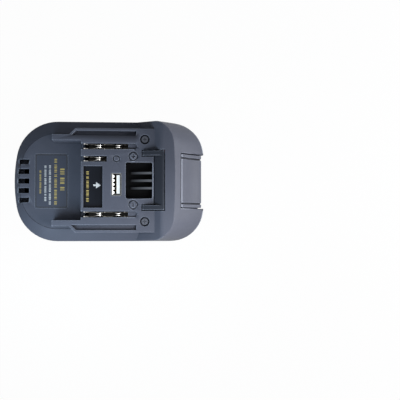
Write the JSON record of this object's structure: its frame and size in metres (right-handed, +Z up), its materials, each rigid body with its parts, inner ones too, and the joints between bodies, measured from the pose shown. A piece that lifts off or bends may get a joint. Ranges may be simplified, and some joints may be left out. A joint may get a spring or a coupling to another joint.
{
  "type": "tool battery adapter",
  "caption": "Slide-on adapter that carries a slide battery pack under a tool foot of another pattern, with leaf contacts, a USB socket and a sprung release latch.",
  "frame": {"origin": "middle of the box at the surface that the lower rim stands on", "axes": "+X towards the front with the release button, +Z up towards the tool"},
  "size_m": [0.1149, 0.0728, 0.049],
  "materials": {
    "housing": "fine moulded texture, slate grey",
    "latch": "fine moulded texture, slate grey",
    "black_plastic": "matt black",
    "name_plate": "satin film",
    "gloss_black": "glossy black",
    "terminal_block": "glass-filled black",
    "spring_steel": "drawn wire",
    "socket_metal": "tin plated",
    "white_plastic": "white",
    "gilt_contact": "gilt",
    "contact_metal": "nickel plated",
    "board": "green solder mask",
    "ferrite": "dark ferrite",
    "capacitor_sleeve": "shrink sleeve",
    "red_wire": "wire sleeve",
    "black_wire": "wire sleeve",
    "screw_steel": "dark plated"
  },
  "bodies": {
    "housing": {"upper_housing": "housing", "lower_housing": "housing", "latch_springs": "spring_steel", "vent_grille": "black_plastic", "name_plate": "name_plate", "usb_plate": "gloss_black", "usb_shell": "socket_metal", "usb_tongue": "white_plastic", "usb_contacts": "gilt_contact", "positive_clip": "contact_metal", "negative_clip": "contact_metal", "signal_clip": "contact_metal", "positive_clip_holder": "black_plastic", "negative_clip_holder": "black_plastic", "signal_clip_holder": "black_plastic", "circuit_board": "board", "inductor": "ferrite", "capacitors": "capacitor_sleeve", "regulator_chip": "black_plastic", "diode": "black_plastic", "battery_terminal_block": "terminal_block", "positive_blade": "contact_metal", "negative_blade": "contact_metal", "signal_blades": "contact_metal", "positive_lead": "red_wire", "negative_lead": "black_wire", "top_screws": "screw_steel", "rear_screws": "screw_steel"},
    "release_latch": {"latch_slider": "latch", "release_button": "latch"}
  },
  "joints": [
    {"name": "latch_press", "type": "slide", "parent": "housing", "child": "release_latch", "axis": [0, 0, -1], "range_m": [0, 0.006], "stiffness_N_per_m": 900, "springref_m": -0.004, "deforming": ["latch_springs"]}
  ]
}
